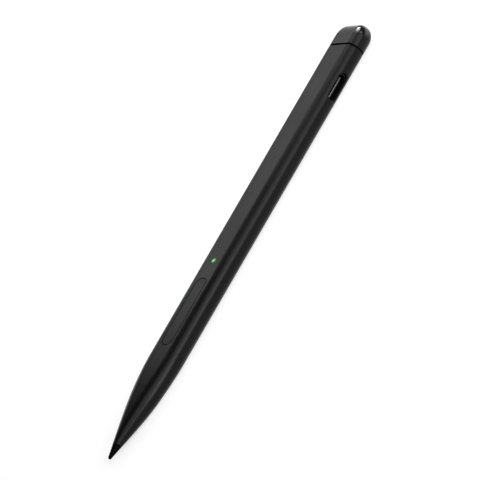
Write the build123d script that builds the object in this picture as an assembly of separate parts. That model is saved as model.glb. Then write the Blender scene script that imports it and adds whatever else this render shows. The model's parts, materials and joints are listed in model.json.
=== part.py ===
from build123d import *
import math
import os

# Flat-oval stylus pen lying on its back face, in millimetres.
# +X points to the nib, +Y to the edge with the charging port, +Z out of the face with the side button.
# A station is a distance along the pen from the point of the nib.

# Casing
barrel_width = 11.6
barrel_thick = 5.9
barrel_wall = 0.7
body_length = 104.95
seam_round = 0.15

# Nose of the casing, whose face, back and flat ease into the straight body, the face the latest.
# Its back is lifted a little, so that the pen lies on its straight body.
nose_length = 28.45
nose_tip_thick = 2.42
nose_tip_flat = 0.08
nose_wall = 0.55
nose_face_share = 0.98
nose_face_power = 2.9
nose_back_share = 0.563
nose_back_power = 1.8
nose_back_lift = 0.01
nose_section_count = 14
guide_front_share = 0.231
guide_rear_share = 0.563

# Nib, which pulls out of its holder
nib_point_length = 4.15
nib_base_diameter = 2.3
nib_tip_radius = 0.48
nib_shank_diameter = 1.5
nib_grip_length = 5.5
nib_bore_gap = 0.1
nib_grip_gap = 0.03
nib_travel = 0.2
nib_stop_gap = 0.05

# Nib holder and its spring
holder_gap = 0.05
holder_floor = 1.0
slit_width = 0.35
slit_length = 3.0
stem_diameter = 1.4
spring_wire = 0.28
spring_stem_gap = 0.2
spring_turns = 9

# Tilt ring with its tab to the board
ring_wall = 0.3
ring_length_share = 0.59
tab_width = 1.0
tab_thick = 0.2
tab_landing = 1.2
tab_gap = 0.1

# Pressure sensor and its pins
sensor_length = 2.2
pin_diameter = 0.3
pin_pitch = 0.8
pin_gap = 0.05
pin_landing = 0.8

# Chassis
spigot_length = 6.0
bulkhead_thick = 1.0
chassis_gap = 0.1
floor_thick = 0.4

# Magnets in the chassis
magnet_width = 5.0
magnet_thick = 0.75
magnet_gap = 0.05
magnet_roof = 0.3
magnet_setback = 4.0
magnet_spacing = 2.0

# Main board
board_thick = 0.6
board_edge_gap = 0.15
board_tail = 8.0

# Parts on the main board
controller_size = 4.0
controller_height = 0.6
radio_size = 3.0
radio_height = 0.5
radio_offset = 2.8
crystal_length = 2.0
crystal_width = 1.6
crystal_height = 0.5
crystal_offset = 3.0
crystal_edge = 2.2
antenna_length = 3.2
antenna_width = 1.6
antenna_height = 0.5
antenna_offset = 2.0
antenna_edge = 1.2
passive_length = 1.0
passive_width = 0.5
passive_height = 0.4
passive_pitch = 1.6
passive_side_gap = 0.8

# Screws of the main board
screw_head_diameter = 1.8
screw_head_height = 0.4
screw_diameter = 1.0
screw_grip = 0.8
screw_hole_gap = 0.1
screw_thread_gap = 0.03
screw_setback = 1.6
screw_edge = 1.4

# Side button and its switches
button_setback = 2.8
button_length = 22.3
button_width = 4.25
button_gap = 0.14
button_edge_round = 0.1
button_lip = 0.5
button_lip_thick = 0.4
button_travel = 0.25
button_stop_gap = 0.1
button_post_diameter = 1.6
switch_length = 3.0
switch_width = 2.6
switch_height = 0.8
switch_stem_diameter = 1.1
switch_stem_gap = 0.05
switch_stem_sink = 0.15
switch_place_share = 0.3

# Status light
led_offset = 6.0
led_length = 1.6
led_width = 0.8
led_height = 0.6
lens_diameter = 1.5
lens_gap = 0.05
lens_lip = 0.4
lens_lip_thick = 0.45
lens_led_gap = 0.15

# Battery
battery_end_gap = 2.5
battery_side_gap = 0.15
battery_round = 0.6
tape_thick = 0.2
tape_inset = 3.0
lead_width = 1.4
lead_thick = 0.15
lead_landing = 1.8
lead_side_shares = (-0.07, -0.58)

# Flat cable over the battery
flex_thick = 0.12
flex_width = 1.6
flex_gap = 0.05
flex_edge_gap = 0.3
flex_landing = 2.2
flex_board_inset = 0.3

# Charging port in the +Y edge
port_setback = 12.7
port_slot_length = 9.0
port_slot_height = 2.6
port_slot_round = 0.2
port_recess = 0.95
port_depth = 6.4
port_shell_length = 8.94
port_shell_height = 3.16
port_shell_wall = 0.3
port_gap = 0.05
port_leg_length = 1.0
port_leg_width = 2.0
port_leg_thick = 0.3
port_leg_inset = 1.75
port_base_depth = 1.6
port_base_gap = 0.03
port_tongue_length = 6.7
port_tongue_thick = 0.7
port_tongue_recess = 0.6
contact_count = 12
contact_pitch = 0.5
contact_width = 0.25
contact_length = 3.4
contact_thick = 0.05

# Board of the charging port
port_board_front = 5.4
port_board_rear = 2.4
charge_chip_size = 1.8
charge_chip_height = 0.6
charge_chip_gap = 0.4

# Tail cap
cap_length = 7.7
cap_wall = 0.8
cap_end_wall = 2.4
cap_round_length = 4.2
cap_round_across = 3.4
cap_round_through = 2.1
cap_section_count = 9
cap_travel = 0.4
cap_stop_gap = 0.1
cap_boss_diameter = 1.8
ridge_setback = 0.9
ridge_length = 0.7
ridge_width = 4.0
ridge_height = 0.3

# Tail frame and the switch under the cap
frame_spigot_length = 3.4
frame_slide_gap = 0.1
collar_depth = 0.35
collar_reach = 0.1
tail_switch_width = 3.0
tail_switch_height = 2.4
tail_switch_depth = 1.5
tail_switch_gap = 0.05
tail_stem_diameter = 1.2
tail_stem_proud = 0.6
tail_stem_sink = 0.6
tail_flex_width = 1.4
tail_flex_side = 0.9
tail_flex_room = 0.15

# Clearances that many pieces share, and how far a cut or a join reaches past a face
fit_gap = 0.05
rest_gap = 0.05
overrun = 1.0
join = 0.2

# Stations of the casing
nib_gap = nib_travel + nib_stop_gap
cap_gap = cap_travel + cap_stop_gap
nose_at = nib_point_length + nib_gap
body_at = nose_at + nose_length
barrel_end_at = body_at + body_length
cap_at = barrel_end_at + cap_gap
overall_length = cap_at + cap_length
guide_front_at = nose_at + nose_length * guide_front_share
guide_rear_at = nose_at + nose_length * guide_rear_share

# Sections and heights of the casing
mid_z = barrel_thick / 2
barrel_flat = barrel_width - barrel_thick
cavity_width = barrel_width - 2 * barrel_wall
cavity_thick = barrel_thick - 2 * barrel_wall
cavity_top = barrel_thick - barrel_wall
front_bore_radius = cavity_thick / 2
front_fit_radius = front_bore_radius - fit_gap

# Stations of the nib holder, sensor and chassis front
bulkhead_at = body_at - spigot_length
sensor_at = bulkhead_at - sensor_length
holder_at = guide_front_at + rest_gap
shank_end_at = holder_at + nib_grip_length
holder_end_at = shank_end_at + nib_stop_gap + holder_floor
stem_end_at = sensor_at - nib_gap

# Heights of the chassis and boards
chassis_bottom = barrel_wall + chassis_gap
seat_z = chassis_bottom + magnet_thick + magnet_gap + magnet_roof
floor_z = chassis_bottom + floor_thick
board_top = seat_z + board_thick
tab_bottom = mid_z + front_fit_radius - ring_wall
tab_clear_z = tab_bottom - tab_gap

# Stations of the side button, light and main board
button_front_at = body_at + button_setback
button_mid_at = button_front_at + button_length / 2
button_end_at = button_front_at + button_length
led_at = button_end_at + led_offset
board_at = bulkhead_at + bulkhead_thick + rest_gap
board_end_at = led_at + board_tail
switch_stations = [button_mid_at + side * button_length * switch_place_share for side in (-1, 1)]
front_screw_at = body_at + screw_setback
rear_screw_at = board_end_at - screw_setback

# Heights of the side button
lip_top = cavity_top - rest_gap
lip_bottom = lip_top - button_lip_thick
switch_top = board_top + switch_height
post_bottom = (lip_bottom + switch_top) / 2

# Places of the charging port and its board
port_at = barrel_end_at - port_setback
port_mouth_y = barrel_width / 2 - port_recess
port_rear_y = port_mouth_y - port_depth
port_board_at = port_at - port_shell_length / 2 - port_board_front
port_board_end_at = port_at + port_shell_length / 2 + port_board_rear
chassis_end_at = port_board_end_at + rest_gap

# Places of the battery and of the flat cable over it
battery_at = board_end_at + battery_end_gap
battery_end_at = port_board_at - battery_end_gap
battery_bottom = floor_z + tape_thick
flex_top = cavity_top - flex_gap
flex_bottom = flex_top - flex_thick
battery_top = flex_bottom - flex_gap

# Stations of the tail
frame_at = port_board_end_at + rest_gap + chassis_gap
spigot_end_at = cap_at + frame_spigot_length
tail_switch_at = spigot_end_at - tail_switch_depth
cap_inner_width = barrel_width - 2 * cap_wall
cap_inner_thick = barrel_thick - 2 * cap_wall
cap_inner_end_at = overall_length - cap_end_wall
cap_round_at = overall_length - cap_round_length
ridge_at = cap_at + ridge_setback


def x_at(station):
    """X of a station."""
    return overall_length / 2 - station


def across(station):
    """Plane square to the pen at a station, with its own X along Y and its own Y up."""
    return Plane(origin=(x_at(station), 0, mid_z), x_dir=(0, 1, 0), z_dir=(1, 0, 0))


def flat_oval(width, thick, start, end):
    """Flat-oval bar between two stations."""
    return extrude(across(end) * SlotOverall(width, thick), end - start)


def rod(radius, start, end, y=0, z=mid_z):
    """Round bar along the pen between two stations, on the centre line unless moved."""
    return extrude(across(end) * Pos(y, z - mid_z) * Circle(radius), end - start)


def block(start, end, low_y, high_y, low_z, high_z):
    """Box between two stations, two sides and two heights."""
    place = Pos(x_at((start + end) / 2), (low_y + high_y) / 2, (low_z + high_z) / 2)
    return place * Box(end - start, high_y - low_y, high_z - low_z)


def chip(station, y, length, width, height):
    """Box that sits on a board, centred at a station and a side."""
    half_length = length / 2
    half_width = width / 2
    top = board_top + height
    return block(station - half_length, station + half_length, y - half_width, y + half_width, board_top, top)


def post(radius, station, y, low_z, high_z):
    """Round bar that stands up."""
    return extrude(Pos(x_at(station), y, low_z) * Circle(radius), high_z - low_z)


def pill(length, width, station, low_z, high_z):
    """Pill-shaped block that stands up, with its long side along the pen."""
    return extrude(Pos(x_at(station), 0, low_z) * SlotOverall(length, width), high_z - low_z)


def port_pill(length, height, low_y, high_y):
    """Pill-shaped bar along Y through the middle of the charging port."""
    plane = Plane(origin=(x_at(port_at), low_y, mid_z), x_dir=(1, 0, 0), z_dir=(0, 1, 0))
    return extrude(plane * SlotOverall(length, height), high_y - low_y)


def group(shapes):
    """Separate solids that share one node."""
    return Compound([solid for shape in shapes for solid in shape.solids()])


def cavity_half_width(low_z, high_z):
    """Least half width of the barrel's inside between two heights."""
    rise = max(mid_z - low_z, high_z - mid_z)
    return (cavity_width - cavity_thick) / 2 + math.sqrt(front_bore_radius ** 2 - rise ** 2)


def nose_fall(depth, share, power):
    """How far one side of the nose lies inside the straight body, at a depth behind its front face."""
    left = max(1 - depth / (nose_length * share), 0)
    return (barrel_thick - nose_tip_thick) / 2 * left ** power


def nose_top(depth):
    """Height of the nose's face at a depth behind its front face."""
    return barrel_thick - nose_fall(depth, nose_face_share, nose_face_power)


def nose_back(depth):
    """Height of the nose's back at a depth behind its front face."""
    share = depth / nose_length
    lift = nose_back_lift * 4 * share * (1 - share)
    return nose_fall(depth, nose_back_share, nose_back_power) + lift


def nose_flat(depth):
    """Width of the nose's flat at a depth behind its front face."""
    share = depth / nose_length
    ease = share * share * (3 - 2 * share)
    return nose_tip_flat + (barrel_flat - nose_tip_flat) * ease


guide_radius = nose_top(guide_front_at - nose_at) - mid_z - nose_wall
holder_radius = guide_radius - holder_gap
board_half_width = cavity_half_width(seat_z, board_top) - board_edge_gap
screw_places = [(front_screw_at, 0), (rear_screw_at, screw_edge - board_half_width)]
tongue_half_width = math.sqrt(front_fit_radius ** 2 - (mid_z - seat_z) ** 2) - board_edge_gap
battery_half_width = cavity_half_width(battery_bottom, battery_top) - battery_side_gap
flex_high_y = cavity_half_width(flex_bottom, flex_top) - flex_edge_gap


def casing():
    """Outside of the barrel as one solid: the straight body with its eased end, and the nose."""
    body = flat_oval(barrel_width, barrel_thick, body_at, barrel_end_at)
    body = fillet(body.edges().group_by(Axis.X)[0], seam_round)
    sections = []
    for index in range(nose_section_count):
        depth = nose_length * index / (nose_section_count - 1)
        top = nose_top(depth)
        bottom = nose_back(depth)
        section = SlotOverall(top - bottom + nose_flat(depth), top - bottom)
        sections.append(across(nose_at + depth) * Pos(0, (top + bottom) / 2 - mid_z) * section)
    return body + loft(sections)


def port_slot():
    """Slot in the casing that leads a plug to the charging port."""
    return port_pill(port_slot_length, port_slot_height, 0, barrel_width / 2 + overrun)


def barrel():
    """Hollow casing with the openings for the button, light, port, nib and tail."""
    shell = casing() - port_slot()
    rim = shell.edges().filter_by(
        lambda edge: edge.center().Y > port_mouth_y
        and abs(edge.center().X - x_at(port_at)) < port_slot_length
        and abs(edge.center().Z - mid_z) < port_slot_height
        and edge.length < port_slot_length
    )
    shell = fillet(rim, port_slot_round)
    shell -= flat_oval(cavity_width, cavity_thick, body_at, barrel_end_at + overrun)
    shell -= rod(front_bore_radius, guide_rear_at, body_at + overrun)
    shell -= rod(guide_radius, guide_front_at, guide_rear_at + overrun)
    shell -= rod(nib_shank_diameter / 2 + nib_bore_gap, nose_at - overrun, guide_front_at + overrun)
    shell -= port_pill(
        port_shell_length + 2 * port_gap,
        port_shell_height + 2 * port_gap,
        0,
        port_mouth_y + port_gap,
    )
    shell -= pill(
        button_length + 2 * button_gap,
        button_width + 2 * button_gap,
        button_mid_at,
        mid_z,
        barrel_thick + overrun,
    )
    shell -= post(lens_diameter / 2 + lens_gap, led_at, 0, mid_z, barrel_thick + overrun)
    return shell


def nib():
    """Conical nib with a rounded point and a straight shank."""
    base_radius = nib_base_diameter / 2
    shank_radius = nib_shank_diameter / 2
    reach = nib_point_length - nib_tip_radius
    lean = math.atan2(base_radius, reach) + math.acos(nib_tip_radius / math.hypot(base_radius, reach))
    arc_end = (nib_tip_radius * (1 + math.cos(lean)), nib_tip_radius * math.sin(lean))
    half_turn = (math.pi + lean) / 2
    arc_mid = (nib_tip_radius * (1 + math.cos(half_turn)), nib_tip_radius * math.sin(half_turn))
    corners = [
        arc_end,
        (nib_point_length, base_radius),
        (nib_point_length, shank_radius),
        (shank_end_at, shank_radius),
        (shank_end_at, 0),
        (0, 0),
    ]
    outline = Curve() + [ThreePointArc((0, 0), arc_mid, arc_end), Polyline(*corners)]
    turned = Plane(origin=(x_at(0), 0, mid_z), x_dir=(-1, 0, 0), z_dir=(0, 1, 0))
    return revolve(turned * make_face(outline.edges()), Axis((0, 0, mid_z), (1, 0, 0)))


def nib_holder():
    """Collet that grips the nib, with the plunger stem behind it."""
    sleeve = rod(holder_radius, holder_at, holder_end_at)
    sleeve -= rod(nib_shank_diameter / 2 + nib_grip_gap, holder_at - overrun, shank_end_at + nib_stop_gap)
    half_slit = slit_width / 2
    sleeve -= block(
        holder_at - overrun,
        holder_at + slit_length,
        -half_slit,
        half_slit,
        mid_z - guide_radius,
        mid_z + guide_radius,
    )
    return sleeve + rod(stem_diameter / 2, holder_end_at - holder_floor / 2, stem_end_at)


def nib_spring():
    """Coil spring round the plunger, from the collet to the sensor."""
    start = holder_end_at + rest_gap + spring_wire / 2
    end = sensor_at - rest_gap - spring_wire / 2
    height = end - start
    radius = stem_diameter / 2 + spring_stem_gap + spring_wire / 2
    coil = Helix(height / spring_turns, height, radius)
    wire = sweep(Plane(origin=coil @ 0, z_dir=coil % 0) * Circle(spring_wire / 2), path=coil, is_frenet=True)
    return Pos(x_at(end), 0, mid_z) * Rot(0, 90, 0) * wire


def tilt_ring():
    """Metal ring at the front of the nose bore, with a tab back to the board's tongue."""
    start = guide_rear_at + rest_gap
    end = start + (sensor_at - start) * ring_length_share
    tab_end = board_at + tab_landing
    half_tab = tab_width / 2
    ring = rod(front_fit_radius, start, end)
    ring -= rod(front_fit_radius - ring_wall, start - overrun, end + overrun)
    tab = block(end - join, tab_end, -half_tab, half_tab, tab_bottom, tab_bottom + tab_thick)
    foot = block(tab_end - tab_thick, tab_end, -half_tab, half_tab, board_top, tab_bottom + tab_thick)
    return ring + tab + foot


def above(start, end, z):
    """All of the pen's inside above a height, between two stations."""
    return block(start, end, -barrel_width, barrel_width, z, z + barrel_thick)


def force_sensor():
    """Pressure sensor in the nose bore, with a flat that lets the ring's tab pass."""
    return rod(front_fit_radius, sensor_at, bulkhead_at) - above(
        sensor_at - overrun, bulkhead_at + overrun, tab_clear_z
    )


def pin_bars(radius, start, end):
    """Three bars where the sensor's pins lie on the board's tongue."""
    z = board_top + pin_diameter / 2
    return [rod(radius, start, end, step * pin_pitch, z) for step in (-1, 0, 1)]


def sensor_pins():
    """Pins from the sensor through the bulkhead to the board's tongue."""
    return group(pin_bars(pin_diameter / 2, bulkhead_at, board_at + pin_landing))


def magnet_spans():
    """Stations of the two magnets, which share the room between the board's screws."""
    start = body_at + magnet_setback
    end = rear_screw_at - screw_setback
    length = (end - start - magnet_spacing) / 2
    return [(start, start + length), (end - length, end)]


def chassis():
    """Sled with a front bulkhead behind the sensor, seats for both boards and a floor under the battery."""
    width = cavity_width - 2 * chassis_gap
    thick = cavity_thick - 2 * chassis_gap
    sled = flat_oval(width, thick, body_at + rest_gap, chassis_end_at)
    sled += rod(front_fit_radius, bulkhead_at, body_at + overrun)
    sled -= above(bulkhead_at - overrun, board_at - rest_gap, tab_clear_z)
    for hole in pin_bars(pin_diameter / 2 + pin_gap, bulkhead_at - overrun, board_at + overrun):
        sled -= hole
    sled -= above(board_at - rest_gap, chassis_end_at + overrun, seat_z)
    sled -= above(board_end_at, port_board_at, floor_z)
    reach = port_shell_length / 2 + chassis_gap
    sled -= block(port_at - reach, port_at + reach, port_rear_y - chassis_gap, barrel_width, 0, barrel_thick)
    half_width = magnet_width / 2 + magnet_gap
    roof_z = chassis_bottom + magnet_thick + magnet_gap
    for start, end in magnet_spans():
        sled -= block(start - magnet_gap, end + magnet_gap, -half_width, half_width, 0, roof_z)
    for station, y in screw_places:
        sled -= post(screw_diameter / 2 + screw_thread_gap, station, y, 0, barrel_thick)
    return sled


def magnets():
    """Two bar magnets in the underside of the chassis."""
    half_width = magnet_width / 2
    top = chassis_bottom + magnet_thick
    return group(
        block(start, end, -half_width, half_width, chassis_bottom, top) for start, end in magnet_spans()
    )


def main_board():
    """Circuit board with a narrow tongue that reaches the sensor."""
    tongue = block(board_at, body_at + overrun, -tongue_half_width, tongue_half_width, seat_z, board_top)
    board = tongue + block(
        body_at + rest_gap, board_end_at, -board_half_width, board_half_width, seat_z, board_top
    )
    for station, y in screw_places:
        board -= post(screw_diameter / 2 + screw_hole_gap, station, y, seat_z - overrun, board_top + overrun)
    return board


def controller_chip():
    """Controller between the two side switches."""
    return chip(button_mid_at, 0, controller_size, controller_size, controller_height)


def radio_chip():
    """Radio behind the status light."""
    return chip(led_at + radio_offset, 0, radio_size, radio_size, radio_height)


def crystal():
    """Clock crystal in front of the status light."""
    side = board_half_width - crystal_edge
    return chip(led_at - crystal_offset, side, crystal_length, crystal_width, crystal_height)


def antenna_chip():
    """Ceramic antenna on the board's edge beside the radio."""
    side = board_half_width - antenna_edge
    return chip(led_at + antenna_offset, side, antenna_length, antenna_width, antenna_height)


def board_passives():
    """Two rows of small parts beside the controller."""
    side = controller_size / 2 + passive_side_gap + passive_width / 2
    return group(
        chip(button_mid_at + step * passive_pitch, y, passive_length, passive_width, passive_height)
        for y in (-side, side)
        for step in (-1, 0, 1)
    )


def board_screws():
    """Two pan-head screws that hold the board to the chassis."""
    screws = []
    for station, y in screw_places:
        top = board_top + screw_head_height
        shank = post(screw_diameter / 2, station, y, seat_z - screw_grip, top)
        screws.append(shank + post(screw_head_diameter / 2, station, y, board_top, top))
    return group(screws)


def side_button():
    """Pill key, flush with the face, with a lip that keeps it in and a post over each switch."""
    key = pill(button_length, button_width, button_mid_at, lip_bottom, barrel_thick + overrun)
    key &= flat_oval(barrel_width, barrel_thick, body_at, barrel_end_at)
    rim = key.edges().filter_by(lambda edge: edge.center().Z > barrel_thick - button_edge_round)
    key = fillet(rim, button_edge_round)
    lip = pill(
        button_length + 2 * button_lip, button_width + 2 * button_lip, button_mid_at, lip_bottom, lip_top
    )
    lip &= flat_oval(cavity_width - 2 * rest_gap, cavity_thick - 2 * rest_gap, body_at, barrel_end_at)
    key += lip
    for station in switch_stations:
        key += post(button_post_diameter / 2, station, 0, post_bottom, lip_top)
    return key


def side_switches():
    """Two switch bodies under the side button, each with a well for its stem."""
    well = switch_stem_sink + button_travel + button_stop_gap
    radius = switch_stem_diameter / 2 + switch_stem_gap
    bodies = []
    for station in switch_stations:
        body = chip(station, 0, switch_length, switch_width, switch_height)
        bodies.append(body - post(radius, station, 0, switch_top - well, switch_top + overrun))
    return group(bodies)


def side_switch_stems():
    """The stems of the side switches, which move with the button."""
    radius = switch_stem_diameter / 2
    bottom = switch_top - switch_stem_sink
    return group(post(radius, station, 0, bottom, post_bottom) for station in switch_stations)


def status_led():
    """Light source under the lens."""
    return chip(led_at, 0, led_length, led_width, led_height)


def led_lens():
    """Light window, flush with the face, with a lip under the wall."""
    bottom = board_top + led_height + lens_led_gap
    lens = post(lens_diameter / 2, led_at, 0, bottom, barrel_thick)
    return lens + post(lens_diameter / 2 + lens_lip, led_at, 0, lip_top - lens_lip_thick, lip_top)


def battery():
    """Pouch cell between the two boards."""
    cell = block(
        battery_at, battery_end_at, -battery_half_width, battery_half_width, battery_bottom, battery_top
    )
    return fillet(cell.edges(), battery_round)


def battery_tape():
    """Adhesive pad under the battery."""
    half_width = battery_half_width - battery_round
    start = battery_at + tape_inset
    end = battery_end_at - tape_inset
    return block(start, end, -half_width, half_width, floor_z, battery_bottom)


def battery_tabs():
    """Two metal tabs from the battery to the board of the charging port."""
    half_width = lead_width / 2
    end = port_board_at + lead_landing
    return group(
        block(battery_end_at, end, y - half_width, y + half_width, board_top, board_top + lead_thick)
        for y in [share * board_half_width for share in lead_side_shares]
    )


def link_flex():
    """Flat cable that climbs from one board over the battery to the other."""
    turns = [
        (board_end_at - flex_landing, board_top),
        (board_end_at - flex_board_inset, board_top),
        (battery_at, flex_bottom),
        (battery_end_at, flex_bottom),
        (port_board_at + flex_board_inset, board_top),
        (port_board_at + flex_landing, board_top),
    ]
    lower = [(x_at(station), z) for station, z in turns]
    upper = [(x, z + flex_thick) for x, z in reversed(lower)]
    upright = Plane(origin=(0, flex_high_y, 0), x_dir=(1, 0, 0), z_dir=(0, -1, 0))
    return extrude(upright * make_face(Polyline(*lower, *upper, close=True)), flex_width)


def port_board():
    """Board of the charging port, notched round the port's shell."""
    board = block(
        port_board_at, port_board_end_at, -board_half_width, board_half_width, seat_z, board_top
    )
    reach = port_shell_length / 2 + port_gap
    notch = block(port_at - reach, port_at + reach, port_rear_y - port_gap, barrel_width, 0, barrel_thick)
    return board - notch


def port_shell():
    """Metal shell of the charging port, with a leg on each arm of its board."""
    shell = port_pill(port_shell_length, port_shell_height, port_rear_y, port_mouth_y)
    half_length = port_shell_length / 2
    leg_y = port_mouth_y - port_leg_inset
    low_y = leg_y - port_leg_width / 2
    high_y = leg_y + port_leg_width / 2
    shell += block(
        port_at - half_length - port_leg_length,
        port_at + half_length + port_leg_length,
        low_y,
        high_y,
        board_top,
        board_top + port_leg_thick,
    )
    return shell - port_pill(
        port_shell_length - 2 * port_shell_wall,
        port_shell_height - 2 * port_shell_wall,
        port_rear_y - overrun,
        port_mouth_y + overrun,
    )


def port_tongue():
    """Insulator at the back of the port's shell, with the tongue that a plug closes over."""
    shrink = 2 * (port_shell_wall + port_base_gap)
    base = port_pill(
        port_shell_length - shrink, port_shell_height - shrink, port_rear_y, port_rear_y + port_base_depth
    )
    half_length = port_tongue_length / 2
    half_thick = port_tongue_thick / 2
    return base + block(
        port_at - half_length,
        port_at + half_length,
        port_rear_y,
        port_mouth_y - port_tongue_recess,
        mid_z - half_thick,
        mid_z + half_thick,
    )


def port_contacts():
    """Two rows of contact strips on the tongue."""
    half_width = contact_width / 2
    rise = port_tongue_thick / 2
    start_y = port_rear_y + port_base_depth
    strips = []
    for index in range(contact_count):
        station = port_at + (index - (contact_count - 1) / 2) * contact_pitch
        for low_z in (mid_z + rise, mid_z - rise - contact_thick):
            strips.append(
                block(
                    station - half_width,
                    station + half_width,
                    start_y,
                    start_y + contact_length,
                    low_z,
                    low_z + contact_thick,
                )
            )
    return group(strips)


def charge_chip():
    """Charging controller on the port's board."""
    station = port_board_at + lead_landing + charge_chip_gap + charge_chip_size / 2
    return chip(station, 0, charge_chip_size, charge_chip_size, charge_chip_height)


def ridge(low_z, high_z, slack_front, slack_rear):
    """Cross bar that catches the cap, or the groove for it when slack is given."""
    half_width = ridge_width / 2
    return block(
        ridge_at - slack_front, ridge_at + ridge_length + slack_rear, -half_width, half_width, low_z, high_z
    )


def cap_form():
    """Outside of the cap as one solid: a straight collar and a rounded end."""
    sections = []
    for index in range(cap_section_count):
        turn = math.pi / 2 * index / (cap_section_count - 1)
        width = barrel_width - 2 * cap_round_across * (1 - math.cos(turn))
        thick = barrel_thick - 2 * cap_round_through * (1 - math.cos(turn))
        station = cap_round_at + cap_round_length * math.sin(turn)
        sections.append(across(station) * SlotOverall(width, thick))
    return flat_oval(barrel_width, barrel_thick, cap_at, cap_round_at) + loft(sections)


def tail_cap():
    """Hollow end cap with a thin lip over the collar, a boss over its switch and two catching ridges."""
    cap = cap_form()
    cap = fillet(cap.edges().group_by(Axis.X)[-1], seam_round)
    cap -= flat_oval(cap_inner_width, cap_inner_thick, cap_at - overrun, cap_inner_end_at)
    shrink = 2 * (collar_depth - frame_slide_gap)
    cap -= flat_oval(
        barrel_width - shrink, barrel_thick - shrink, cap_at - overrun, cap_at + collar_reach + cap_gap
    )
    cap += rod(cap_boss_diameter / 2, spigot_end_at + tail_stem_proud, cap_inner_end_at + join)
    half_thick = cap_inner_thick / 2
    for side in (-1, 1):
        crest = mid_z + side * (half_thick - ridge_height)
        root = mid_z + side * (half_thick + join)
        cap += ridge(min(crest, root), max(crest, root), 0, 0)
    return cap


def tail_frame():
    """Plug in the barrel's end, with a collar in the seam, the cap's spigot and a pocket for the switch."""
    frame = flat_oval(cavity_width - 2 * fit_gap, cavity_thick - 2 * fit_gap, frame_at, barrel_end_at)
    half_thick = cap_inner_thick / 2
    frame += flat_oval(
        cap_inner_width - 2 * frame_slide_gap,
        cap_inner_thick - 2 * frame_slide_gap,
        barrel_end_at - overrun,
        spigot_end_at,
    )
    shrink = 2 * collar_depth
    frame += flat_oval(
        barrel_width - shrink, barrel_thick - shrink, barrel_end_at + rest_gap, cap_at + collar_reach
    )
    half_width = tail_switch_width / 2 + tail_switch_gap
    half_height = tail_switch_height / 2 + tail_switch_gap
    frame -= block(
        tail_switch_at - tail_switch_gap,
        spigot_end_at + overrun,
        -half_width,
        half_width,
        mid_z - half_height,
        mid_z + half_height,
    )
    for side in (-1, 1):
        bed = mid_z + side * (half_thick - ridge_height - frame_slide_gap)
        sky = mid_z + side * (half_thick + overrun)
        frame -= ridge(min(bed, sky), max(bed, sky), cap_travel + cap_stop_gap, cap_stop_gap)
    reach = tail_flex_width / 2 + tail_flex_room
    frame -= block(
        frame_at - overrun,
        tail_switch_at,
        -tail_flex_side - reach,
        -tail_flex_side + reach,
        board_top - tail_flex_room,
        board_top + flex_thick + tail_flex_room,
    )
    return frame


def tail_switch():
    """Switch body in the end of the tail frame, with a well for its stem."""
    half_width = tail_switch_width / 2
    half_height = tail_switch_height / 2
    body = block(
        tail_switch_at, spigot_end_at, -half_width, half_width, mid_z - half_height, mid_z + half_height
    )
    well = tail_stem_sink + cap_travel + cap_stop_gap
    return body - rod(tail_stem_diameter / 2 + switch_stem_gap, spigot_end_at - well, spigot_end_at + overrun)


def tail_switch_stem():
    """Stem of the tail switch, which moves with the cap."""
    return rod(tail_stem_diameter / 2, spigot_end_at - tail_stem_sink, spigot_end_at + tail_stem_proud)


def tail_flex():
    """Flat cable from the port's board to the tail switch."""
    half_width = tail_flex_width / 2
    return block(
        port_board_end_at - lead_landing,
        tail_switch_at,
        -tail_flex_side - half_width,
        -tail_flex_side + half_width,
        board_top,
        board_top + flex_thick,
    )


makers = [
    barrel,
    nib,
    nib_holder,
    nib_spring,
    tilt_ring,
    force_sensor,
    sensor_pins,
    chassis,
    magnets,
    main_board,
    controller_chip,
    radio_chip,
    crystal,
    antenna_chip,
    board_passives,
    board_screws,
    side_button,
    side_switches,
    side_switch_stems,
    status_led,
    led_lens,
    battery,
    battery_tape,
    battery_tabs,
    link_flex,
    port_board,
    port_shell,
    port_tongue,
    port_contacts,
    charge_chip,
    tail_cap,
    tail_frame,
    tail_switch,
    tail_switch_stem,
    tail_flex,
]

os.makedirs("parts", exist_ok=True)
for maker in makers:
    export_step(maker(), os.path.join("parts", maker.__name__ + ".step"))
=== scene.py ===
import json
import math

import bmesh
import bpy
from mathutils import Matrix, Vector


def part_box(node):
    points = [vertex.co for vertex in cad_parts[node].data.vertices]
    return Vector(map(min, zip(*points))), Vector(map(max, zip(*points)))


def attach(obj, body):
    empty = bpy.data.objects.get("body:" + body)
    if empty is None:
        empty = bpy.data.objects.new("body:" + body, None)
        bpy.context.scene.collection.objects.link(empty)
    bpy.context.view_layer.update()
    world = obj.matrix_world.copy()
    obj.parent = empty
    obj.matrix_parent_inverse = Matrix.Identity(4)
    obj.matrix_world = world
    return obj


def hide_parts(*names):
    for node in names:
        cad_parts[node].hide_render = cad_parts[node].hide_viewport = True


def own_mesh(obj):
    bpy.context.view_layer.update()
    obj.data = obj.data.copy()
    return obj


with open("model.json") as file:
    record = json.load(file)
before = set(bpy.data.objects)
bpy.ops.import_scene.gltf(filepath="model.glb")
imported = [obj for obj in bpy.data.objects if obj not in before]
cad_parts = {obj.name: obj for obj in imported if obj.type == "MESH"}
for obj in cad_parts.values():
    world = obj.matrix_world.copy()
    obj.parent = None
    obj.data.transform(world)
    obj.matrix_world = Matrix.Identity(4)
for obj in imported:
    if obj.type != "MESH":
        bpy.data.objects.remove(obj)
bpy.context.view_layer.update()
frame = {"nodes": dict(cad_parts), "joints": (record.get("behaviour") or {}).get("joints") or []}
scene = bpy.context.scene
scene.view_settings.view_transform = "Standard"

# Lengths below are in millimetres in the pen's frame, as in its source: +X to the nib, +Y to the edge with
# the charging port, +Z out of the face with the side button
MM = 0.001

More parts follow.
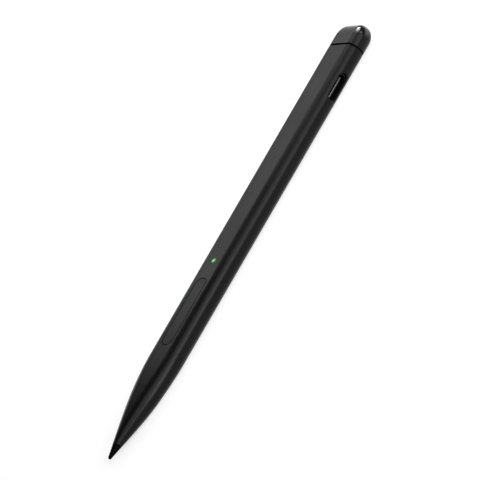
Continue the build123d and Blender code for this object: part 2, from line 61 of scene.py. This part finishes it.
# Camera at the photograph's viewing angle: its own right, up and back axes, the point that it looks at, how
# far it is from there, its lens and sensor, and how near and far it sees
CAMERA_RIGHT = (-0.4530, 0.6559, -0.6039)
CAMERA_UP = (-0.7815, 0.0337, 0.6229)
CAMERA_BACK = (0.4289, 0.7541, 0.4973)
CAMERA_TARGET = (-0.653, 0.721, 2.344)
CAMERA_DISTANCE = 2270
CAMERA_LENS = 643
CAMERA_SENSOR = 36
CAMERA_NEAR = 100
CAMERA_FAR = 50000


def place_camera():
    data = bpy.data.cameras.new("camera")
    data.lens = CAMERA_LENS
    data.sensor_width = CAMERA_SENSOR
    data.clip_start = CAMERA_NEAR * MM
    data.clip_end = CAMERA_FAR * MM
    camera = bpy.data.objects.new("camera", data)
    scene.collection.objects.link(camera)
    turn = Matrix((CAMERA_RIGHT, CAMERA_UP, CAMERA_BACK)).transposed().to_4x4()
    place = Vector(CAMERA_TARGET) + CAMERA_DISTANCE * Vector(CAMERA_BACK)
    camera.matrix_world = Matrix.Translation(place * MM) @ turn
    scene.camera = camera


place_camera()


class Wire:
    """A shader socket that takes part in sums."""

    def __init__(self, finish, socket):
        self.finish = finish
        self.socket = socket

    def math(self, operation, *values):
        return self.finish.node("ShaderNodeMath", {"operation": operation}, dict(enumerate(values)))

    def __add__(self, other):
        return self.math("ADD", self, other)

    def __radd__(self, other):
        return self.math("ADD", other, self)

    def __sub__(self, other):
        return self.math("SUBTRACT", self, other)

    def __rsub__(self, other):
        return self.math("SUBTRACT", other, self)

    def __mul__(self, other):
        return self.math("MULTIPLY", self, other)

    def __rmul__(self, other):
        return self.math("MULTIPLY", other, self)

    def __truediv__(self, other):
        return self.math("DIVIDE", self, other)

    def __abs__(self):
        return self.math("ABSOLUTE", self)

    def __pow__(self, other):
        return self.math("POWER", self, other)

    def above(self, level):
        """The greater of this value and a level."""
        return self.math("MAXIMUM", self, level)

    def stripe(self):
        """0.5 at each whole number, falling to 0 half way to the next."""
        return abs(self.math("FRACT", self) - 0.5)

    def swing(self, reach):
        """A noise from 0 to 1 as a change of half of reach either way."""
        return (self - 0.5) * reach

    def blend(self, other, share):
        """This value mixed with another, which has a share of the whole."""
        return self * (1 - share) + other * share


class Finish:
    """A material and the nodes that make it."""

    def __init__(self, name):
        self.material = bpy.data.materials.new(name)
        self.material.use_nodes = True
        self.tree = self.material.node_tree
        self.shader = self.tree.nodes["Principled BSDF"]
        self.place = self.node("ShaderNodeTexCoord", output="Object")

    def node(self, kind, settings=None, sockets=None, output=0):
        """One output of a new node, with its settings made first and then its sockets."""
        made = self.tree.nodes.new(kind)
        for name, value in (settings or {}).items():
            setattr(made, name, value)
        self.link(made, sockets or {})
        return Wire(self, made.outputs[output])

    def link(self, node, sockets):
        """Give a node's sockets their values or links."""
        for name, value in sockets.items():
            if isinstance(value, Wire):
                self.tree.links.new(value.socket, node.inputs[name])
            else:
                node.inputs[name].default_value = value

    def along(self, axis):
        """The pen's X, Y or Z in millimetres at each point."""
        return self.node("ShaderNodeSeparateXYZ", sockets={0: self.place}, output=axis) / MM

    def noise(self, size, detail=2.0, stretch=(1, 1, 1)):
        """Cloudy noise from 0 to 1, with lumps of a size, drawn out by stretch along each axis."""
        scale = [1 / (MM * size * pull) for pull in stretch]
        spread = self.node("ShaderNodeMapping", sockets={"Vector": self.place, "Scale": scale})
        return self.node("ShaderNodeTexNoise", sockets={"Vector": spread, "Scale": 1.0, "Detail": detail})

    def step(self, value, start, full):
        """How far a value is on its way from start to full, eased, from 0 to 1."""
        sockets = {"Value": value, "From Min": start, "From Max": full}
        return self.node("ShaderNodeMapRange", {"interpolation_type": "SMOOTHSTEP"}, sockets)

    def mix(self, factor, first, second):
        """Two colours mixed."""
        colours = [colour if isinstance(colour, Wire) else (*colour, 1.0) for colour in (first, second)]
        settings = {"data_type": "RGBA"}
        return self.node("ShaderNodeMix", settings, {0: factor, 6: colours[0], 7: colours[1]}, output=2)

    def pill(self, along, across, half_length, half_width):
        """How far a point lies outside a pill outline, or inside it where below 0."""
        past = (abs(along) - (half_length - half_width)).above(0.0)
        return (past * past + across * across) ** 0.5 - half_width

    def bump(self, height, depth):
        """Surface relief from a height of 0 to 1, as deep as depth."""
        return self.node("ShaderNodeBump", sockets={"Height": height, "Distance": depth * MM})

    def shade(self, **sockets):
        """The material, with its shader's sockets set; an underscore stands for a space in their names."""
        self.link(self.shader, {name.replace("_", " "): value for name, value in sockets.items()})
        return self.material


def dress(material, *nodes):
    """Give nodes of the CAD model a material."""
    for name in nodes:
        mesh = frame["nodes"][name].data
        mesh.materials.clear()
        mesh.materials.append(material)


# Moulded casing plastics

# Colours of the casing and its button, of the cap and of the nib, at their darkest and lightest
CASING_DARK = (0.0016, 0.0016, 0.0017)
CASING_LIGHT = (0.0028, 0.0028, 0.0029)
CAP_DARK = (0.0022, 0.0022, 0.0023)
CAP_LIGHT = (0.0034, 0.0034, 0.0035)
NIB_DARK = (0.0004, 0.0004, 0.0004)
NIB_LIGHT = (0.0012, 0.0012, 0.0012)

# Roughness of the plastics and of the polished coat, what cut edges add to it, and what hands, rubbing and
# polish take from it
CASING_ROUGHNESS = 0.34
CAP_ROUGHNESS = 0.32
NIB_ROUGHNESS = 0.58
POLISH_ROUGHNESS = 0.14
CUT_ROUGHNESS = 0.26
HELD_GLOSS = 0.03
RUBBED_GLOSS = 0.07
POLISHED_GLOSS = 0.16

# Specular levels
CASING_SHEEN = 0.125
CAP_SHEEN = 0.14
NIB_SHEEN = 0.03

# Sizes of the moulded grain, of clouds and smears from handling, and of the nib's scuffs and turning lines
GRAIN_SIZE = 0.11
GRAIN_DEPTH = 0.0035
CLOUD_SIZE = 7.0
SMEAR_SIZE = 1.6
SCUFF_SIZE = 0.25
TURNING_PITCH = 0.16
TURNING_DEPTH = 0.002

# The opening of the charging port and that of the side button: middle, half length and half width
SLOT_X = -52.1
SLOT_Z = 2.95
SLOT_HALF_LENGTH = 4.5
SLOT_HALF_WIDTH = 1.3
KEY_X = 26.2
KEY_HALF_LENGTH = 11.15
KEY_HALF_WIDTH = 2.13

# Each pair from here on says where a mark starts and where it is full. Cut edges come first: how far from an
# opening's outline, and how far towards the side of the pen that has the opening
SLOT_CUT = 0.30, 0.15
SLOT_SIDE_Y = 3.0, 4.0
KEY_CUT = 0.24, 0.10
KEY_SIDE_Z = 4.5, 5.0

# The stretch where fingers hold the pen, from the rear and from the front
GRIP_REAR_X = 0.0, 16.0
GRIP_FRONT_X = 64.0, 48.0

# The rubbed edges of barrel and cap at the seam, and the polished upper part of the cap's end
BARREL_RUB_X = -64.3, -64.7
CAP_RUB_X = -65.8, -65.4
POLISH_X = -68.9, -70.2
POLISH_Z = 2.2, 3.8

# The button's worn middle, across and along from its centre, and its rim, inside the opening's outline
KEY_WORN_ACROSS = 1.6, 0.4
KEY_WORN_ALONG = 10.0, 5.0
KEY_RIM = -0.26, -0.12

# The nib's worn point
NIB_WORN_X = 70.5, 72.6


def moulded(name, dark, light, roughness, sheen):
    """Satin plastic and its roughness: a fine sparked grain, with faint clouds of handling in its gloss."""
    made = Finish(name)
    grain = made.noise(GRAIN_SIZE, detail=3.0)
    clouds = made.noise(CLOUD_SIZE, detail=3.0, stretch=(2.2, 1, 1))
    smears = made.noise(SMEAR_SIZE, stretch=(5, 1, 1))
    made.shade(
        Base_Color=made.mix(clouds.blend(grain, share=0.4), dark, light),
        Specular_IOR_Level=sheen,
        Normal=made.bump(grain, GRAIN_DEPTH),
    )
    return made, roughness + clouds.swing(0.07) + smears.swing(0.05) + grain.swing(0.10)


def casing_black():
    """Casing plastic: held smooth near the nose, rubbed at its end, and rougher where openings are cut."""
    made, satin = moulded("casing_black", CASING_DARK, CASING_LIGHT, CASING_ROUGHNESS, CASING_SHEEN)
    x = made.along("X")
    y = made.along("Y")
    z = made.along("Z")
    slot_edge = abs(made.pill(x - SLOT_X, z - SLOT_Z, SLOT_HALF_LENGTH, SLOT_HALF_WIDTH))
    key_edge = abs(made.pill(x - KEY_X, y, KEY_HALF_LENGTH, KEY_HALF_WIDTH))
    slot_cut = made.step(slot_edge, *SLOT_CUT) * made.step(y, *SLOT_SIDE_Y)
    key_cut = made.step(key_edge, *KEY_CUT) * made.step(z, *KEY_SIDE_Z)
    cut = slot_cut.above(key_cut)
    held = made.step(x, *GRIP_REAR_X) * made.step(x, *GRIP_FRONT_X)
    rubbed = made.step(x, *BARREL_RUB_X)
    return made.shade(Roughness=satin + CUT_ROUGHNESS * cut - HELD_GLOSS * held - RUBBED_GLOSS * rubbed)


def cap_black():
    """Cap plastic, rubbed along the edge at the seam and polished over the upper part of its end."""
    made, satin = moulded("cap_black", CAP_DARK, CAP_LIGHT, CAP_ROUGHNESS, CAP_SHEEN)
    x = made.along("X")
    rubbed = made.step(x, *CAP_RUB_X)
    polished = made.step(x, *POLISH_X) * made.step(made.along("Z"), *POLISH_Z)
    return made.shade(
        Roughness=satin - RUBBED_GLOSS * rubbed - POLISHED_GLOSS * polished,
        Coat_Weight=polished,
        Coat_Roughness=POLISH_ROUGHNESS,
    )


def key_black():
    """Button plastic, worn a little smoother along its middle and rougher at its rim."""
    made, satin = moulded("key_black", CASING_DARK, CASING_LIGHT, CASING_ROUGHNESS, CASING_SHEEN)
    along = made.along("X") - KEY_X
    across = made.along("Y")
    worn = made.step(abs(across), *KEY_WORN_ACROSS) * made.step(abs(along), *KEY_WORN_ALONG)
    rim = made.step(made.pill(along, across, KEY_HALF_LENGTH, KEY_HALF_WIDTH), *KEY_RIM)
    return made.shade(Roughness=satin - HELD_GLOSS * worn + CUT_ROUGHNESS * rim)


def nib_black():
    """Matt nib plastic with fine turning lines, worn smoother at its point."""
    made = Finish("nib_black")
    x = made.along("X")
    scuffs = made.noise(SCUFF_SIZE, detail=3.0, stretch=(4, 1, 1))
    lines = (x / TURNING_PITCH).stripe() * 2.0
    worn = made.step(x, *NIB_WORN_X)
    return made.shade(
        Base_Color=made.mix(scuffs, NIB_DARK, NIB_LIGHT),
        Roughness=NIB_ROUGHNESS - POLISHED_GLOSS * worn + scuffs.swing(0.12),
        Specular_IOR_Level=NIB_SHEEN,
        Normal=made.bump((lines * (1.0 - worn)).blend(scuffs, share=0.5), TURNING_DEPTH),
    )


dress(casing_black(), "barrel")
dress(cap_black(), "tail_cap")
dress(key_black(), "side_button")
dress(nib_black(), "nib")

# The status light: its middle along the pen, how far from there its core starts and is full, how much haze
# moves that, the colour and specular level of its window, and its glow at the rim and in the core
LIGHT_X = 9.05
LIGHT_CORE = 0.60, 0.14
LIGHT_HAZE = 0.14
LENS_DARK = (0.02, 0.10, 0.02)
LENS_LIGHT = (0.03, 0.14, 0.03)
LENS_SHEEN = 0.12
GLOW_RIM = (0.008, 0.17, 0.008)
GLOW_CORE = (0.17, 0.76, 0.165)


def lens_green():
    """Lit window: bright in the middle, deep green towards its rim."""
    made = Finish("lens_green")
    along = made.along("X") - LIGHT_X
    across = made.along("Y")
    reach = (along * along + across * across) ** 0.5
    haze = made.noise(size=0.2)
    core = made.step(reach + haze.swing(LIGHT_HAZE), *LIGHT_CORE)
    return made.shade(
        Base_Color=made.mix(haze, LENS_DARK, LENS_LIGHT),
        Roughness=0.22 + 0.1 * haze,
        Specular_IOR_Level=LENS_SHEEN,
        Emission_Color=made.mix(core, GLOW_RIM, GLOW_CORE),
        Emission_Strength=1.0,
    )


dress(lens_green(), "led_lens")

# Metals

STAIN_SIZE = 2.5
METAL_LINE_DEPTH = 0.001
STEEL_DULL = (0.42, 0.42, 0.43)
STEEL_BRIGHT = (0.60, 0.60, 0.61)

# The pieces of each metal, its dull and bright colour, its roughness, and the size of its lines and how far
# they are drawn out along each axis
METALS = {
    # The port shell's colours are far darker than steel: they paint the shade inside the charging slot.
    "port_steel": (["port_shell"], (0.04, 0.04, 0.042), (0.08, 0.08, 0.084), 0.40, 0.10, (1, 14, 1)),
    "spring_steel": (["nib_spring"], STEEL_DULL, STEEL_BRIGHT, 0.26, 0.06, (1, 1, 1)),
    "sensor_steel": (["force_sensor"], STEEL_DULL, STEEL_BRIGHT, 0.34, 0.10, (8, 1, 1)),
    "screw_steel": (["board_screws"], STEEL_DULL, STEEL_BRIGHT, 0.30, 0.08, (1, 1, 1)),
    "can_silver": (["crystal"], (0.62, 0.60, 0.56), (0.80, 0.78, 0.74), 0.24, 0.08, (1, 10, 1)),
    "magnet_nickel": (["magnets"], (0.54, 0.52, 0.48), (0.70, 0.68, 0.64), 0.22, 0.30, (1, 1, 1)),
    "tab_nickel": (["battery_tabs"], (0.58, 0.55, 0.50), (0.74, 0.71, 0.66), 0.32, 0.08, (12, 1, 1)),
    "copper": (["tilt_ring"], (0.60, 0.26, 0.14), (0.86, 0.44, 0.28), 0.30, 0.10, (1, 8, 8)),
    "contact_gold": (
        ["port_contacts", "sensor_pins"],
        (0.78, 0.52, 0.18), (0.95, 0.72, 0.34), 0.22, 0.06, (1, 10, 1),
    ),
}


def metal(name, dull, bright, roughness, line_size, run):
    """Drawn, rolled or plated metal with fine lines and faint stains."""
    made = Finish(name)
    lines = made.noise(line_size, detail=3.0, stretch=run)
    stains = made.noise(STAIN_SIZE, detail=3.0)
    return made.shade(
        Base_Color=made.mix(lines.blend(stains, share=0.5), dull, bright),
        Metallic=1.0,
        Roughness=roughness + lines.swing(0.14) + stains.swing(0.08),
        Normal=made.bump(lines, METAL_LINE_DEPTH),
    )


for name, (nodes, *look) in METALS.items():
    dress(metal(name, *look), *nodes)

# Points of the spring's mesh that lie closer than this are one point
WELD = 0.001


def lay_spring():
    """The nib's spring, welded into one mesh and carried by the casing in place of the CAD node; how far it
    would shorten by the nib's travel is worked out but not used.
    """
    mesh = frame["nodes"]["nib_spring"].data.copy()
    form = bmesh.new()
    form.from_mesh(mesh)
    bmesh.ops.remove_doubles(form, verts=form.verts, dist=WELD * MM)
    form.to_mesh(mesh)
    form.free()
    spring = bpy.data.objects.new("nib_return_spring", mesh)
    scene.collection.objects.link(spring)
    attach(spring, "casing")
    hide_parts("nib_spring")
    sensor_end, holder_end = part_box("nib_spring")
    travel = next(joint["range_m"][1] for joint in frame["joints"] if joint["name"] == "nib_press")
    length = holder_end[0] - sensor_end[0]
    1 - travel / length
    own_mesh(spring)


lay_spring()

# Inner mouldings and chips

FLOW_SIZE = 3.5

# The pieces of each plastic, its dark and light colour, its roughness, the size and depth of its grain, and
# its specular level
PLASTICS = {
    "holder_grey": (["nib_holder"], (0.16, 0.16, 0.17), (0.22, 0.22, 0.23), 0.42, 0.12, 0.004, 0.5),
    "chassis_grey": (["chassis"], (0.052, 0.054, 0.058), (0.078, 0.080, 0.086), 0.52, 0.12, 0.004, 0.5),
    # The tail frame is black plastic, made darker still to paint the shade in the seam between barrel and
    # cap, where it shows.
    "frame_black_and_seam_shade": (
        ["tail_frame"],
        (0.0008, 0.0008, 0.0008), (0.0016, 0.0016, 0.0016), 0.60, 0.12, 0.004, 0.05,
    ),
    "switch_black": (
        ["side_switches", "tail_switch"],
        (0.012, 0.012, 0.012), (0.022, 0.022, 0.022), 0.46, 0.12, 0.004, 0.5,
    ),
    "stem_ivory": (
        ["side_switch_stems", "tail_switch_stem"],
        (0.62, 0.58, 0.48), (0.76, 0.73, 0.64), 0.40, 0.12, 0.004, 0.5,
    ),
    "chip_black": (
        ["controller_chip", "radio_chip", "charge_chip"],
        (0.010, 0.010, 0.011), (0.024, 0.024, 0.025), 0.62, 0.05, 0.006, 0.5,
    ),
    "antenna_white": (["antenna_chip"], (0.66, 0.66, 0.62), (0.80, 0.80, 0.76), 0.46, 0.06, 0.003, 0.5),
    "led_body": (["status_led"], (0.70, 0.70, 0.66), (0.84, 0.84, 0.80), 0.36, 0.10, 0.002, 0.5),
    "tape_grey": (["battery_tape"], (0.12, 0.12, 0.13), (0.20, 0.20, 0.21), 0.70, 0.18, 0.02, 0.3),
}


def plastic(name, dark, light, roughness, grain_size, depth, sheen):
    """Plain inner moulding with a fine grain and slight flow clouds."""
    made = Finish(name)
    grain = made.noise(grain_size, detail=3.0)
    flow = made.noise(FLOW_SIZE, stretch=(2.5, 1, 1))
    return made.shade(
        Base_Color=made.mix(grain.blend(flow, share=0.6), dark, light),
        Roughness=roughness + grain.swing(0.12),
        Specular_IOR_Level=sheen,
        Normal=made.bump(grain, depth),
    )


for name, (nodes, *look) in PLASTICS.items():
    dress(plastic(name, *look), *nodes)

# The port's tongue: its colour and specular level, the height of the steel plate in it, and the plate's bare
# edge, towards the tongue's front and from the plate's middle
TONGUE_DARK = (0.004, 0.004, 0.004)
TONGUE_LIGHT = (0.008, 0.008, 0.008)
TONGUE_SHEEN = 0.2
PLATE_Z = 3.07
PLATE_FRONT_Y = 4.22, 4.24
PLATE_EDGE = 0.075, 0.05


def tongue_black():
    """Insulating plastic, with the edge of its steel middle plate bare along the front."""
    made = Finish("tongue_black")
    grain = made.noise(size=0.06)
    front = made.step(made.along("Y"), *PLATE_FRONT_Y)
    plate = front * made.step(abs(made.along("Z") - PLATE_Z), *PLATE_EDGE)
    return made.shade(
        Base_Color=made.mix(plate, made.mix(grain, TONGUE_DARK, TONGUE_LIGHT), STEEL_DULL),
        Metallic=plate,
        Roughness=0.55 + 0.08 * plate + grain.swing(0.10),
        Specular_IOR_Level=TONGUE_SHEEN,
        Normal=made.bump(grain, depth=0.002),
    )


dress(tongue_black(), "port_tongue")

# Boards and flat cables

# A board's copper tracks: pitch, how many pitches they wander, their edges within a pitch, and their height.
# Then the board's colour between them and over them
TRACK_PITCH = 0.55
TRACK_WANDER = 2.0
TRACK_EDGE = 0.20, 0.26
TRACK_HEIGHT = 0.02
BOARD_BARE = (0.006, 0.042, 0.016)
BOARD_OVER_COPPER = (0.016, 0.098, 0.036)

# A flat cable's conductors, which don't wander, and its colours
LANE_PITCH = 0.32
LANE_EDGE = 0.22, 0.30
LANE_HEIGHT = 0.015
FILM_BARE = (0.30, 0.12, 0.02)
FILM_OVER_COPPER = (0.46, 0.23, 0.06)


def board_green():
    """Solder mask over copper tracks that run along the board."""
    made = Finish("board_green")
    wander = made.noise(size=6.0, detail=1.0, stretch=(2, 1, 1))
    tracks = (made.along("Y") / TRACK_PITCH + TRACK_WANDER * wander).stripe()
    copper = made.step(tracks, *TRACK_EDGE)
    speck = made.noise(size=0.08)
    return made.shade(
        Base_Color=made.mix(copper.blend(speck, share=0.2), BOARD_BARE, BOARD_OVER_COPPER),
        Roughness=0.30 + speck.swing(0.12),
        Normal=made.bump(copper, TRACK_HEIGHT),
    )


def flex_amber():
    """Amber film with copper conductors along it."""
    made = Finish("flex_amber")
    lanes = made.step((made.along("Y") / LANE_PITCH).stripe(), *LANE_EDGE)
    speck = made.noise(size=0.15)
    return made.shade(
        Base_Color=made.mix(lanes.blend(speck, share=0.2), FILM_BARE, FILM_OVER_COPPER),
        Roughness=0.28 + speck.swing(0.14),
        Normal=made.bump(lanes, LANE_HEIGHT),
    )


dress(board_green(), "main_board", "port_board")
dress(flex_amber(), "link_flex", "tail_flex")

# Battery and small parts

FOIL_DULL = (0.50, 0.51, 0.53)
FOIL_BRIGHT = (0.66, 0.67, 0.69)
CREASE_SIZE = 2.2
CREASE_DEPTH = 0.08

# The rows of small parts on the board: their middle, under the button's, their pitch and colours, and how
# far from a part's middle its tinned end starts and is full
PASSIVE_X = KEY_X
PASSIVE_PITCH = 1.6
PASSIVE_DARK = (0.30, 0.19, 0.10)
PASSIVE_LIGHT = (0.42, 0.28, 0.16)
TIN = (0.62, 0.61, 0.58)
TINNED_END = 0.27, 0.30


def cell_foil():
    """Laminated pouch foil with soft creases."""
    made = Finish("cell_foil")
    crease = made.noise(CREASE_SIZE, detail=4.0, stretch=(2, 1, 1))
    weave = made.noise(size=0.12)
    return made.shade(
        Base_Color=made.mix(crease, FOIL_DULL, FOIL_BRIGHT),
        Metallic=0.9,
        Roughness=0.36 + weave.swing(0.16),
        Normal=made.bump(crease.blend(weave, share=0.1), CREASE_DEPTH),
    )


def passive_tan():
    """Small ceramic parts with tinned ends."""
    made = Finish("passive_tan")
    along = ((made.along("X") - PASSIVE_X) / PASSIVE_PITCH + 0.5).stripe() * PASSIVE_PITCH
    ends = made.step(along, *TINNED_END)
    speck = made.noise(size=0.07)
    return made.shade(
        Base_Color=made.mix(ends, made.mix(speck, PASSIVE_DARK, PASSIVE_LIGHT), TIN),
        Metallic=ends,
        Roughness=0.46 - 0.12 * ends + speck.swing(0.1),
        Normal=made.bump(speck, depth=0.004),
    )


dress(cell_foil(), "battery")
dress(passive_tan(), "board_passives")

# Studio

# Softboxes: place, what each faces, width, height and how bright its face looks
SOFTBOXES = {
    "edge_low_light": ((-150, 359, 152), (-150, 0, 3), 300, 68, 3.5),
    "edge_light": ((-150, 327, 212), (-150, 0, 3), 300, 68, 8.1),
    "edge_high_light": ((-90, 276, 276), (-90, 0, 3), 420, 95, 3.2),
    "edge_top_light": ((-90, 183, 344), (-90, 0, 3), 420, 140, 2.4),
    "nose_light": ((2, 366, 132), (2, 0, 3), 85, 105, 14.3),
    "nose_face_light": ((-50, -325, 60), (52, 0, 4), 80, 80, 2.9),
    "face_light": ((-140, -205, 140), (-20, 0, 3), 120, 70, 2.9),
    "face_tail_light": ((-250, -200, 235), (-40, 0, 3), 120, 130, 1.8),
    "tail_light": ((-230, -45, 200), (-60, 0, 3), 110, 120, 6.0),
    "end_light": ((-321, -112, 170), (-70, 0, 5), 105, 90, 11.8),
    "cap_light": ((-274, -243, 96), (-70, 0, 5), 150, 110, 0.5),
    "front_fill": ((300, 172, 245), (20, 0, 3), 140, 100, 3.0),
    "nib_side_fill": ((280, -280, 145), (20, 0, 3), 140, 100, 3.0),
    "port_side_fill": ((-300, 172, 245), (-20, 0, 3), 140, 100, 3.0),
}


def softbox(name, place, aim, width, height, radiance):
    """A soft lamp at a place, facing what it is aimed at, that the camera doesn't see."""
    data = bpy.data.lights.new(name, "AREA")
    data.shape = "RECTANGLE"
    data.size = width * MM
    data.size_y = height * MM
    data.energy = radiance * math.pi * data.size * data.size_y
    lamp = bpy.data.objects.new(name, data)
    scene.collection.objects.link(lamp)
    lamp.location = Vector(place) * MM
    lamp.rotation_mode = "QUATERNION"
    lamp.rotation_quaternion = (Vector(aim) - Vector(place)).to_track_quat("-Z", "Y")
    lamp.visible_camera = False


for name, settings in SOFTBOXES.items():
    softbox(name, *settings)

# Floor: a disc with an upright rim, its colour under the lamps, and the glow that takes it to white where it
# is seen straight or in a reflection
FLOOR_RADIUS = 4000
FLOOR_SIDES = 128
FLOOR_RIM_HEIGHT = 600
FLOOR_COLOUR = (0.42, 0.42, 0.42, 1)
FLOOR_GLOW = 0.64

# Even light from all round
AMBIENT_COLOUR = (1, 1, 1, 1)
AMBIENT = 0.07


def floor_white():
    """Matt floor that glows for the rays that show it, and is clear from below."""
    made = Finish("floor_white")
    seen = made.node("ShaderNodeLightPath", output="Is Camera Ray")
    for ray in ("Is Glossy Ray", "Is Transmission Ray"):
        seen = seen.above(made.node("ShaderNodeLightPath", output=ray))
    under = made.node("ShaderNodeNewGeometry", output="Backfacing")
    clear = made.node("ShaderNodeBsdfTransparent")
    matt = made.node("ShaderNodeBsdfDiffuse", sockets={"Color": FLOOR_COLOUR})
    glow = made.node("ShaderNodeEmission", sockets={"Strength": seen * FLOOR_GLOW})
    lit = made.node("ShaderNodeAddShader", sockets={0: matt, 1: glow})
    shown = made.node("ShaderNodeMixShader", sockets={0: under, 1: lit, 2: clear})
    made.link(made.tree.nodes["Material Output"], {"Surface": shown})
    return made.material


def lay_floor():
    form = bmesh.new()
    bmesh.ops.create_circle(form, cap_ends=True, segments=FLOOR_SIDES, radius=FLOOR_RADIUS * MM)
    edges = [edge for edge in form.edges if edge.is_boundary]
    rim = bmesh.ops.extrude_edge_only(form, edges=edges)
    lifted = [part for part in rim["geom"] if isinstance(part, bmesh.types.BMVert)]
    bmesh.ops.translate(form, verts=lifted, vec=(0, 0, FLOOR_RIM_HEIGHT * MM))
    bmesh.ops.recalc_face_normals(form, faces=form.faces)
    if max(form.faces, key=lambda face: face.calc_area()).normal.z < 0:
        bmesh.ops.reverse_faces(form, faces=form.faces)
    mesh = bpy.data.meshes.new("floor")
    form.to_mesh(mesh)
    form.free()
    mesh.materials.append(floor_white())
    floor = bpy.data.objects.new("floor", mesh)
    scene.collection.objects.link(floor)


lay_floor()
scene.world = bpy.data.worlds.new("studio")
scene.world.use_nodes = True
background = scene.world.node_tree.nodes["Background"]
background.inputs["Color"].default_value = AMBIENT_COLOUR
background.inputs["Strength"].default_value = AMBIENT
